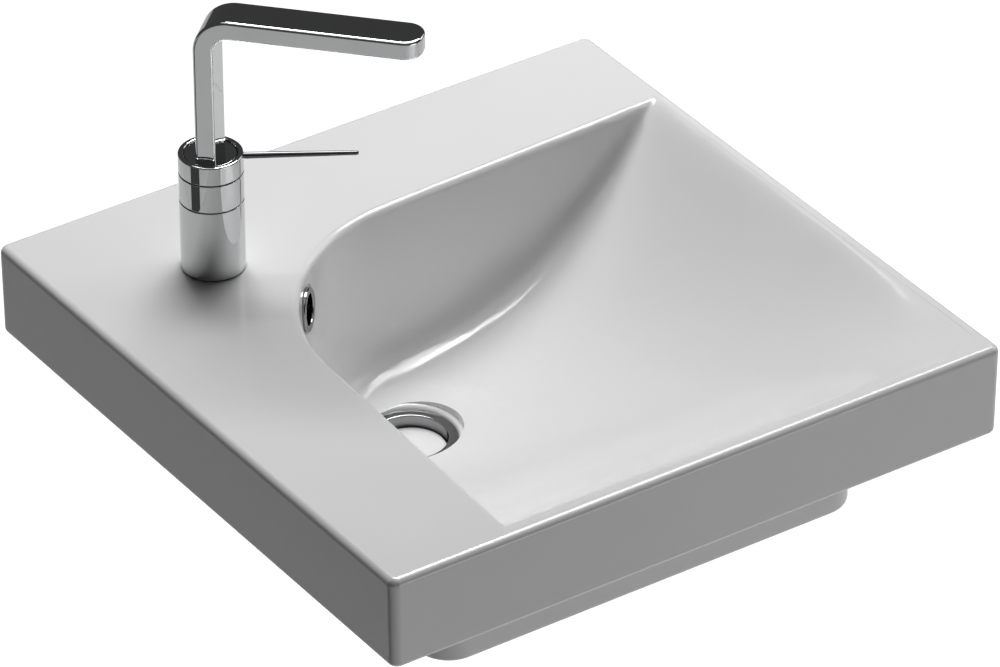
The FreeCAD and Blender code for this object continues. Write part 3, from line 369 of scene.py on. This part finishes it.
def softened(corners):
    """Profile whose corners (radius, height, softness) are rounded."""
    line = []
    count = len(corners)
    for k, corner in enumerate(corners):
        here = Vector(corner[:2])
        soft = corner[2] if len(corner) > 2 else 0.0
        if soft == 0.0:
            line.append(here)
            continue
        back = (Vector(corners[k - 1][:2]) - here).normalized()
        ahead = (Vector(corners[(k + 1) % count][:2]) - here).normalized()
        half = back.angle(ahead) / 2
        centre = here + (back + ahead).normalized() * (soft / math.sin(half))
        first = here + back * (soft / math.tan(half)) - centre
        last = here + ahead * (soft / math.tan(half)) - centre
        span = first.angle(last)
        for j in range(CORNER_STEPS + 1):
            t = j / CORNER_STEPS
            arm = first * math.sin((1 - t) * span) + last * math.sin(t * span)
            line.append(centre + arm / math.sin(span))
    return line


def turned(name, corners, place, steps=ROUND_STEPS):
    """Piece turned about its own Z axis from a closed profile in millimetres, put in its place."""
    points, rings, faces = [], [], []
    for r, z in softened(corners):
        if r < TINY:
            rings.append([len(points)] * steps)
            points.append(place @ Vector((0, 0, z * MM)))
            continue
        rings.append(list(range(len(points), len(points) + steps)))
        for k in range(steps):
            a = 2 * math.pi * k / steps
            points.append(place @ Vector((r * math.cos(a) * MM, r * math.sin(a) * MM, z * MM)))
    for low, high in zip(rings, rings[1:] + rings[:1]):
        for k in range(steps):
            n = (k + 1) % steps
            loop = list(dict.fromkeys((low[k], low[n], high[n], high[k])))
            if len(loop) > 2:
                faces.append(loop)
    piece = merged(name, points, faces, TINY, turn_out=True)
    even_shading(piece)
    return piece


def flat_ring(name, inner, outer, low, high, place):
    """Turned ring of a plain square section."""
    return turned(name, [(inner, low), (outer, low), (outer, high), (inner, high)], place)


def smooth_copy(node, name, crease=35.0, reshape=None):
    """Merged copy of a CAD node with even shading, whose points may be moved by a rule."""
    source = frame["nodes"][node].data
    points = [vertex.co.copy() for vertex in source.vertices]
    if reshape:
        points = [reshape(point) for point in points]
    faces = [list(face.vertices) for face in source.polygons]
    piece = merged(name, points, faces, 2 * TINY)
    even_shading(piece, crease)
    return piece


def settle_copies(**names):
    """Smooth copies of CAD nodes, under the names of their pieces."""
    for node, name in names.items():
        settle(smooth_copy(node, name), node)


def upright(spot, azimuth=0.0):
    """Place of a piece that stands on a spot, turned about the vertical."""
    return Matrix.Translation(spot) @ Matrix.Rotation(azimuth, 4, "Z")


ON_TAP = upright(TAP_FOOT, SPOUT_TURN)
ON_DRAIN = upright(DRAIN_FLOOR)
ON_OVERFLOW = (Matrix.Translation(OVERFLOW_SEAT)
               @ OVERFLOW_AXIS.to_track_quat("Z", "Y").to_matrix().to_4x4())
ALONG_LEVER = (upright(TAP_FOOT + Vector((0, 0, LEVER_HEIGHT * MM)), LEVER_TURN)
               @ Matrix.Rotation(math.pi / 2, 4, "Y"))
AT_AERATOR = ON_TAP @ Matrix.Translation(
    ((SPOUT_REACH - AERATOR_INSET) * MM, 0, SPOUT_UNDER * MM))


# Basin, in metres. A floor has a depth, a fall from the right rim and one from the front rim.

CAST_FLOOR, FULL_FLOOR = (0.115, 2, 2), (0.11392, 3, 2)
RIGHT_RIM_X, FRONT_RIM_Y = 0.222, -0.452
RIM_EASE, FALL_RUN = 0.0085, 0.282
CORNER_X, CORNER_Y, CORNER_R = 0.008, -0.2415, 0.1435
LEFT_WALL_X, LEFT_FLARE_Y = -0.1355, -0.236
BACK_WALL_Y, BACK_FLARE_X = -0.098, 0.002
WALL_FLARE = math.tan(math.radians(2.3))
KEPT_LEFT_X, KEPT_BACK_Y = -0.16, -0.07
KEPT_DRAIN_R, DRAIN_EASE = 0.036, 0.03
SHELL, SHELL_SLACK, FLOOR_SLACK = 0.012, 0.0012, 0.002


def floor_drop(x, y, depth, right_fall, front_fall):
    """Drop of the bowl floor below the deck: it falls from two rims and levels out."""
    drop = depth
    for distance, fall in ((RIGHT_RIM_X - x, right_fall), (y - FRONT_RIM_Y, front_fall)):
        inward = max(distance, 0.0)
        way = inward ** 2 / (inward + RIM_EASE)
        drop *= 1 - (1 - min(way / FALL_RUN, 1.0)) ** fall
    return drop


def in_bowl(x, y):
    """True inside the outline of the bowl, with its round corner and its slightly flared walls."""
    if x < CORNER_X and y > CORNER_Y:
        return math.hypot(x - CORNER_X, y - CORNER_Y) < CORNER_R
    left = LEFT_WALL_X - WALL_FLARE * max(LEFT_FLARE_Y - y, 0.0)
    back = BACK_WALL_Y + WALL_FLARE * max(x - BACK_FLARE_X, 0.0)
    return x > left and y < back


def fuller_bowl(point):
    """Lowers the rising part of the bowl floor, the wall above it and the underside below it."""
    x, y, z = point
    cast = floor_drop(x, y, *CAST_FLOOR)
    full = floor_drop(x, y, *FULL_FLOOR)
    from_drain = math.hypot(x - DRAIN_FLOOR.x, y - DRAIN_FLOOR.y)
    share = min(max((from_drain - KEPT_DRAIN_R) / DRAIN_EASE, 0.0), 1.0)
    full = cast + (full - cast) * share * share * (3 - 2 * share)
    drop = DECK_Z - z
    if cast < TINY or x < KEPT_LEFT_X or y > KEPT_BACK_Y:
        return point
    if abs(drop - cast - SHELL) < SHELL_SLACK:
        return Vector((x, y, z + cast - full))
    if in_bowl(x, y) and drop < cast + FLOOR_SLACK:
        return Vector((x, y, DECK_Z - drop * full / cast))
    return point


# Tap

def flat_spout():
    """Flat bar bent over at the top, its tip rounded in plan and all its long edges softened."""
    half_wide, half_thick = 13.5, SPOUT_THICK / 2
    edge_r, tip_r, bend_in = 2.0, 12.0, 11.0
    bend_r = bend_in + half_thick
    stem = SPOUT_TOP - SPOUT_THICK - bend_in - SPOUT_FOOT
    arc = bend_r * math.pi / 2
    total = stem + arc + SPOUT_REACH - bend_r

    def bent(run, across, out):
        """Point of the bar by its run along the bend, its place across and its way out."""
        if run < stem:
            return Vector((-out, across, SPOUT_FOOT + run))
        if run < stem + arc:
            a = (run - stem) / bend_r
            return Vector((bend_r - (bend_r + out) * math.cos(a), across,
                           SPOUT_FOOT + stem + (bend_r + out) * math.sin(a)))
        return Vector((bend_r + run - stem - arc, across, SPOUT_TOP - half_thick + out))

    runs = [0.0] + [stem + arc * k / BEND_STEPS for k in range(BEND_STEPS + 1)]
    rows = []
    for k in range(EDGE_STEPS + 1):
        a = quarter(k, EDGE_STEPS)
        rows.append((edge_r * (1 - math.sin(a)), half_thick - edge_r * (1 - math.cos(a))))
    rows += [(inset, -out) for inset, out in reversed(rows)]
    points, left, right = [], [], []
    for inset, out in rows:
        side = [(run, half_wide - inset) for run in runs]
        for k in range(TIP_STEPS + 1):
            a = quarter(k, TIP_STEPS)
            side.append((total - tip_r + (tip_r - inset) * math.sin(a),
                         half_wide - tip_r + (tip_r - inset) * math.cos(a)))
        for sign, store in ((1, left), (-1, right)):
            store.append(list(range(len(points), len(points) + len(side))))
            points += [bent(run, sign * across, out) * MM for run, across in side]
    faces = []
    last = len(left[0]) - 1
    for k in range(last):
        for row in (0, -1):
            faces.append([left[row][k], left[row][k + 1], right[row][k + 1], right[row][k]])
        for j in range(len(rows) - 1):
            for store in (left, right):
                faces.append([store[j][k], store[j][k + 1], store[j + 1][k + 1], store[j + 1][k]])
    for j in range(len(rows) - 1):
        faces.append([left[j][last], right[j][last], right[j + 1][last], left[j + 1][last]])
    faces.append([row[0] for row in left] + [row[0] for row in reversed(right)])
    piece = merged("flat_spout", [ON_TAP @ point for point in points], faces, TINY, turn_out=True)
    cut_aerator_pocket(piece)
    even_shading(piece, crease=40.0)
    settle(piece, "spout")


def cut_aerator_pocket(piece):
    """Round pocket in the underside of the spout's tip."""
    radius, below, depth = 9.2, -2.0, 10.8
    cutter = turned("aerator_pocket", [(0, below), (radius, below), (radius, depth), (0, depth)],
                    AT_AERATOR, steps=64)
    cut = piece.modifiers.new("pocket", "BOOLEAN")
    cut.operation = "DIFFERENCE"
    cut.solver = "EXACT"
    cut.object = cutter
    bake_modifiers(piece)
    bpy.data.objects.remove(cutter)


def tap_rings():
    """Stacked chrome rings of the tap with the dark rings in their two grooves."""
    soft = 0.4
    gasket_bore_r, spigot_r, spigot_end = 17.5, 17.0, -4.0
    body_bore_r, body_floor, neck_top = 17.6, 9.0, 61.0
    shroud_bore_r, shroud_roof, glide_bore_r = 11.7, 67.0, 12.0
    collar_bore_r, collar_cup_r, collar_floor, collar_soft = 11.43, 17.3, 77.0, 1.1
    tube_bore_r, tube_r, tube_end = 2.8, 4.5, 66.0
    seat_r, seat_foot, seat_soft = 16.8, 80.0, 0.35
    settle(flat_ring("tap_foot_gasket", gasket_bore_r, GROOVE_R, 0, GASKET_TOP, ON_TAP),
           "tap_base_gasket")
    settle(turned("tap_lower_body",
                  [(0, spigot_end), (spigot_r, spigot_end, soft), (spigot_r, GASKET_TOP),
                   (TAP_R, GASKET_TOP, soft), (TAP_R, BODY_TOP, soft), (NECK_R, BODY_TOP),
                   (NECK_R, neck_top, 0.3), (body_bore_r, neck_top), (body_bore_r, body_floor),
                   (0, body_floor)], ON_TAP), "tap_body")
    settle(flat_ring("lower_shadow_ring", NECK_BORE_R, GROOVE_R, BODY_TOP, SHROUD_FOOT, ON_TAP),
           "shadow_ring")
    settle(turned("middle_shroud",
                  [(NECK_BORE_R, SHROUD_FOOT), (TAP_R, SHROUD_FOOT, soft),
                   (TAP_R, SHROUD_TOP, soft), (shroud_bore_r, SHROUD_TOP),
                   (shroud_bore_r, shroud_roof), (NECK_BORE_R, shroud_roof)], ON_TAP),
           "shroud_ring")
    settle(flat_ring("upper_glide_ring", glide_bore_r, GROOVE_R, SHROUD_TOP, GLIDE_TOP, ON_TAP),
           "glide_ring")
    settle(turned("turning_collar",
                  [(collar_bore_r, COLLAR_FOOT), (TAP_R, COLLAR_FOOT, soft),
                   (TAP_R, COLLAR_TOP, collar_soft), (collar_cup_r, COLLAR_TOP, collar_soft),
                   (collar_cup_r, collar_floor, soft), (collar_bore_r, collar_floor)], ON_TAP),
           "control_collar")
    settle(turned("spout_seat",
                  [(tube_bore_r, tube_end), (tube_r, tube_end), (tube_r, seat_foot),
                   (seat_r, seat_foot), (seat_r, SPOUT_FOOT, seat_soft),
                   (tube_bore_r, SPOUT_FOOT)], ON_TAP), "spout_base")


def tapered_lever():
    """Thin round lever that narrows to a round tip."""
    tip_r, root_r, thick_r = 1.5, 1.9, 2.25
    root_end, collar_face = 17.5, 20.93
    tip = [(tip_r * math.cos(quarter(k, EDGE_STEPS)),
            LEVER_REACH - tip_r + tip_r * math.sin(quarter(k, EDGE_STEPS)))
           for k in range(EDGE_STEPS)]
    corners = [(0, root_end), (root_r, root_end), (root_r, collar_face),
               (thick_r, collar_face, 0.2), *tip, (0, LEVER_REACH)]
    # Painted shade: the lever takes the darkened chrome in place of the polished one.
    settle(turned("tapered_lever", corners, ALONG_LEVER, steps=48), "lever_rod",
           finish=painted_shade_lever_chrome)


def aerator():
    """Chrome ring under the spout's tip with its jet insert."""
    lip_r, bore_r, ring_r = 7.22, 8.02, 9.17
    lip_foot, lip_top, ring_top = -0.8, 0.0, 5.5
    settle(turned("aerator_ring",
                  [(lip_r, lip_foot, 0.2), (ring_r, lip_foot, 0.3), (ring_r, ring_top),
                   (bore_r, ring_top), (bore_r, lip_top), (lip_r, lip_top)],
                  AT_AERATOR, steps=96), "aerator_housing")
    settle_copies(aerator_insert="jet_insert")


# Thread ridges

def thread_tree():
    """Geometry nodes that wind a ridge round an upright cylinder."""
    tree = bpy.data.node_groups.new("thread_ridge", "GeometryNodeTree")
    for label, kind in (("Radius", "Float"), ("Turns", "Float"), ("Height", "Float"),
                        ("Ridge", "Float"), ("Foot", "Vector"), ("Finish", "Material")):
        tree.interface.new_socket(label, in_out="INPUT", socket_type="NodeSocket" + kind)
    tree.interface.new_socket("Thread", in_out="OUTPUT", socket_type="NodeSocketGeometry")
    given = tree.nodes.new("NodeGroupInput").outputs
    result = tree.nodes.new("NodeGroupOutput")
    winding = put(tree, "GeometryNodeCurveSpiral", Resolution=48, Rotations=given["Turns"],
                  Start_Radius=given["Radius"], End_Radius=given["Radius"],
                  Height=given["Height"])
    section = put(tree, "GeometryNodeCurvePrimitiveCircle", Resolution=4, Radius=given["Ridge"])
    ridge = put(tree, "GeometryNodeCurveToMesh", Curve=winding.outputs[0],
                Profile_Curve=section.outputs[0], Fill_Caps=True)
    moved = put(tree, "GeometryNodeTransform", Geometry=ridge.outputs[0],
                Translation=given["Foot"])
    whole = put(tree, "GeometryNodeRealizeInstances", Geometry=moved.outputs[0])
    dressed = put(tree, "GeometryNodeSetMaterial", Geometry=whole.outputs[0],
                  Material=given["Finish"])
    feed(tree, result, Thread=dressed.outputs[0])
    return tree


def thread(name, tree, node, foot, radius, height, pitch, ridge):
    """Ridge of a thread on a plain cylinder, on the body of the node that it belongs to."""
    piece = placed(name, bpy.data.meshes.new(name))
    winding = piece.modifiers.new("winding", "NODES")
    winding.node_group = tree
    values = {"Radius": radius * MM, "Turns": height / pitch, "Height": height * MM,
              "Ridge": ridge * MM, "Foot": foot, "Finish": FINISH[SLOT_OF[node]]}
    for item in tree.interface.items_tree:
        if item.in_out == "INPUT":
            winding[item.identifier] = values[item.name]
    bake_modifiers(piece)
    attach(piece, BODY_OF[node])


# Waste, overflow and fixings, in millimetres from the drain floor and the overflow's seat

def waste_and_plug():
    """Cup in the drain well, plug, and the clamping pieces under the basin."""
    ring_bore_r, ring_r, lip_r = 24.6, 28.98, 31.0
    ring_foot, lip_foot, lip_top = -13.8, -4.4, -2.8
    plug_r, plug_foot, plug_top = 23.8, -12.7, -11.2
    settle_copies(waste_body="waste_cup_and_tail")
    # Painted shade: the lip ring in the drain well takes the darkened chrome.
    settle(turned("cup_lip_ring",
                  [(ring_bore_r, ring_foot), (ring_r, ring_foot), (ring_r, lip_foot),
                   (lip_r, lip_foot, 0.2), (lip_r, lip_top, 0.7), (ring_bore_r, lip_top, 0.9)],
                  ON_DRAIN), "waste_body", finish=painted_shade_ring_chrome)
    settle(turned("plug_disc",
                  [(0, plug_foot), (plug_r, plug_foot, 0.2), (plug_r, plug_top, 0.8),
                   (0, plug_top)], ON_DRAIN), "plug_cap")
    settle_copies(lower_seal="lower_seal_ring", slip_washer="slip_washer_ring",
                  back_nut="hexagon_back_nut", plug_carrier="plug_carrier_disc",
                  click_barrel="click_barrel_tube", plug_seal="plug_seal_ring",
                  waste_seal="waste_seal_ring")


def overflow_fittings():
    """Chrome ring of the overflow with its gasket."""
    bore_r, sleeve_r, trim_r = 10.3, 11.7, 14.6
    sleeve_end, gasket_top, trim_top = -8.4, 0.6, 2.8
    gasket_bore_r, gasket_r = 12.0, 14.0
    # Painted shade: the overflow ring takes the darkened chrome.
    settle(turned("overflow_trim",
                  [(bore_r, sleeve_end), (sleeve_r, sleeve_end), (sleeve_r, gasket_top),
                   (trim_r, gasket_top, 0.2), (trim_r, trim_top, 1.0), (bore_r, trim_top, 1.0)],
                  ON_OVERFLOW), "overflow_ring", finish=painted_shade_ring_chrome)
    settle(flat_ring("overflow_seat_gasket", gasket_bore_r, gasket_r, 0, gasket_top, ON_OVERFLOW),
           "overflow_gasket")


def deck_fixings():
    """Stud, washers and nut that hold the tap under the deck."""
    settle_copies(fixing_stud="tap_stud", horseshoe_gasket="rubber_horseshoe",
                  horseshoe_plate="steel_horseshoe", stud_nut="tap_stud_nut")


def inner_pieces():
    """Pieces inside the tap keep their CAD shape and get their finish."""
    for node in ("cartridge_housing", "fixed_disc", "turning_disc", "drive_sleeve",
                 "cartridge_nut", "riser_tube", "spout_seals", "aerator_seal"):
        for slot in frame["nodes"][node].material_slots:
            slot.material = FINISH[SLOT_OF[node]]


def thread_ridges():
    """Threads of the waste's tail and of the stud."""
    ridge_tree = thread_tree()
    tail_foot = DRAIN_FLOOR + Vector((0, 0, -91 * MM))
    thread("tail_thread", ridge_tree, "waste_body", tail_foot,
           radius=20.95, height=44.0, pitch=1.8, ridge=0.4)
    stud_foot = ON_TAP @ Vector((-11 * MM, 0, -61 * MM))
    thread("stud_thread", ridge_tree, "fixing_stud", stud_foot,
           radius=4.0, height=30.0, pitch=1.25, ridge=0.3)


settle(smooth_copy("basin_ceramic", "basin_casting", crease=50.0, reshape=fuller_bowl),
       "basin_ceramic")
tap_rings()
flat_spout()
tapered_lever()
aerator()
overflow_fittings()
waste_and_plug()
deck_fixings()
inner_pieces()
thread_ridges()


# Studio, in metres

SQUARE, ONE_FACE = ((-1, -1), (1, -1), (1, 1), (-1, 1)), [(0, 1, 2, 3)]


def studio_sheet(name, points, faces):
    """Sheet of the studio, put in the scene."""
    mesh = bpy.data.meshes.new(name)
    mesh.from_pydata(points, [], faces)
    sheet = placed(name, mesh)
    return sheet


def seen_white(tree, mirrored):
    """1 for rays from the camera and through glass, a share for mirrors, 0 for other light."""
    path = tree.nodes.new("ShaderNodeLightPath").outputs
    direct = maths(tree, "MAXIMUM", path["Is Camera Ray"], path["Is Transmission Ray"])
    return maths(tree, "MAXIMUM", direct, maths(tree, "MULTIPLY", path["Is Glossy Ray"], mirrored))


def pale_floor():
    """Wide pale floor that shows white and keeps a faint shadow."""
    size = 9.0
    corners = [(x * size, y * size, STUDIO_FLOOR_Z) for x, y in SQUARE]
    floor = studio_sheet("pale_floor", corners, ONE_FACE)
    made, tree, shader, place = begin("pale_floor")
    grain = noise(tree, place, Scale=3.0, Detail=2.0)
    feed(tree, shader, Base_Color=tinted(tree, grain, (0.8, 0.8, 0.8), (0.82, 0.82, 0.82)),
         Roughness=0.9, Specular_IOR_Level=0.0, Emission_Color=(1, 1, 1, 1),
         Emission_Strength=maths(tree, "MULTIPLY", seen_white(tree, 0.5), 0.8))
    floor.data.materials.append(made)


def mirrored_sheet(name, points, faces, glow):
    """Sheet of the studio that only reflections show, dark or shining."""
    sheet = studio_sheet(name, points, faces)
    made, tree, shader, place = begin(name)
    grain = noise(tree, place, Scale=2.0, Detail=2.0)
    feed(tree, shader, Base_Color=tinted(tree, grain, (0.02, 0.02, 0.02), (0.04, 0.04, 0.04)),
         Roughness=1.0, Specular_IOR_Level=0.0, Emission_Color=(1, 1, 1, 1),
         Emission_Strength=glow)
    sheet.data.materials.append(made)
    sheet.visible_camera = False
    sheet.visible_diffuse = False
    sheet.visible_shadow = False
    sheet.visible_transmission = False


def dark_wall():
    """Dark wall round the set."""
    radius, low, high, steps = 3.2, -0.3, 5.0, 64
    points = []
    for z in (low, high):
        for k in range(steps):
            a = 2 * math.pi * k / steps
            points.append((radius * math.cos(a), MIDDLE_Y + radius * math.sin(a), z))
    faces = [(k, (k + 1) % steps, steps + (k + 1) % steps, steps + k) for k in range(steps)]
    mirrored_sheet("dark_studio_wall", points, faces, glow=0.06)


def dark_card():
    """Dark card to the left, which draws the dark streak down the side of the tap."""
    x, near, far, low, high = -1.1, -0.4, 0.2, STUDIO_FLOOR_Z + 0.01, -0.1
    corners = [(x, near, low), (x, far, low), (x, far, high), (x, near, high)]
    mirrored_sheet("dark_card", corners, ONE_FACE, glow=0.05)


def to_middle(spot):
    """Turn of a panel or lamp at a spot that faces the middle of the basin."""
    return (Vector(spot) - MIDDLE).to_track_quat("Z", "Y")


def shining_panel(spot, half, glow):
    """Bright panel above on the right, which draws the shine along the foot of the bowl's wall."""
    turn = to_middle(spot)
    corners = [Vector(spot) + turn @ Vector((x * half, y * half, 0)) for x, y in SQUARE]
    mirrored_sheet("shining_panel", corners, ONE_FACE, glow)


def softbox(name, spot, width, height, power):
    """Large soft lamp at a spot, turned towards the basin."""
    lamp = bpy.data.lights.new(name, "AREA")
    lamp.shape = "RECTANGLE"
    lamp.size = width
    lamp.size_y = height
    lamp.energy = power
    holder = placed(name, lamp)
    holder.matrix_world = Matrix.Translation(spot) @ to_middle(spot).to_matrix().to_4x4()


def studio_sky(ambient):
    """World that gives a little even light and shows white."""
    world = bpy.data.worlds.new("studio_sky")
    bpy.context.scene.world = world
    world.use_nodes = True
    tree = world.node_tree
    shown = maths(tree, "MULTIPLY", seen_white(tree, 1.0), 1.0 - ambient)
    feed(tree, tree.nodes["Background"], Color=(1, 1, 1, 1),
         Strength=maths(tree, "ADD", shown, ambient))


def photo_camera():
    """Long lens from the front left, looking down on the basin."""
    azimuth, height, roll, distance = 0.592232, 0.580718, -0.005549, 5.18957
    aside, above = 0.0034238, -0.0244912
    back = Vector((-math.sin(azimuth) * math.cos(height),
                   -math.cos(azimuth) * math.cos(height), math.sin(height)))
    level = Vector((math.cos(azimuth), -math.sin(azimuth), 0))
    rise = back.cross(level)
    right = level * math.cos(roll) + rise * math.sin(roll)
    up = rise * math.cos(roll) - level * math.sin(roll)
    spot = back * distance + right * aside + up * above + Vector((0, MIDDLE_Y, DECK_Z))
    lens = bpy.data.cameras.new("photo_camera")
    lens.sensor_fit = "HORIZONTAL"
    lens.sensor_width = 36.0
    lens.lens = 294.33
    lens.clip_end = 100.0
    holder = placed("photo_camera", lens)
    turn = Matrix((right, up, back)).transposed().to_4x4()
    holder.matrix_world = Matrix.Translation(spot) @ turn
    bpy.context.scene.camera = holder


pale_floor()
dark_wall()
dark_card()
shining_panel((1.10, 0.17, 2.21), half=0.6, glow=9.0)
softbox("back_key", (0.41, 0.47, 1.83), width=1.0, height=1.0, power=36.0)
softbox("right_fill", (1.99, MIDDLE_Y, 0.93), width=1.0, height=1.0, power=6.0)
softbox("low_front_fill", (0.56, -2.33, -0.31), width=1.3, height=0.8, power=8.0)
studio_sky(0.01)
photo_camera()
bpy.context.scene.view_settings.view_transform = "Standard"
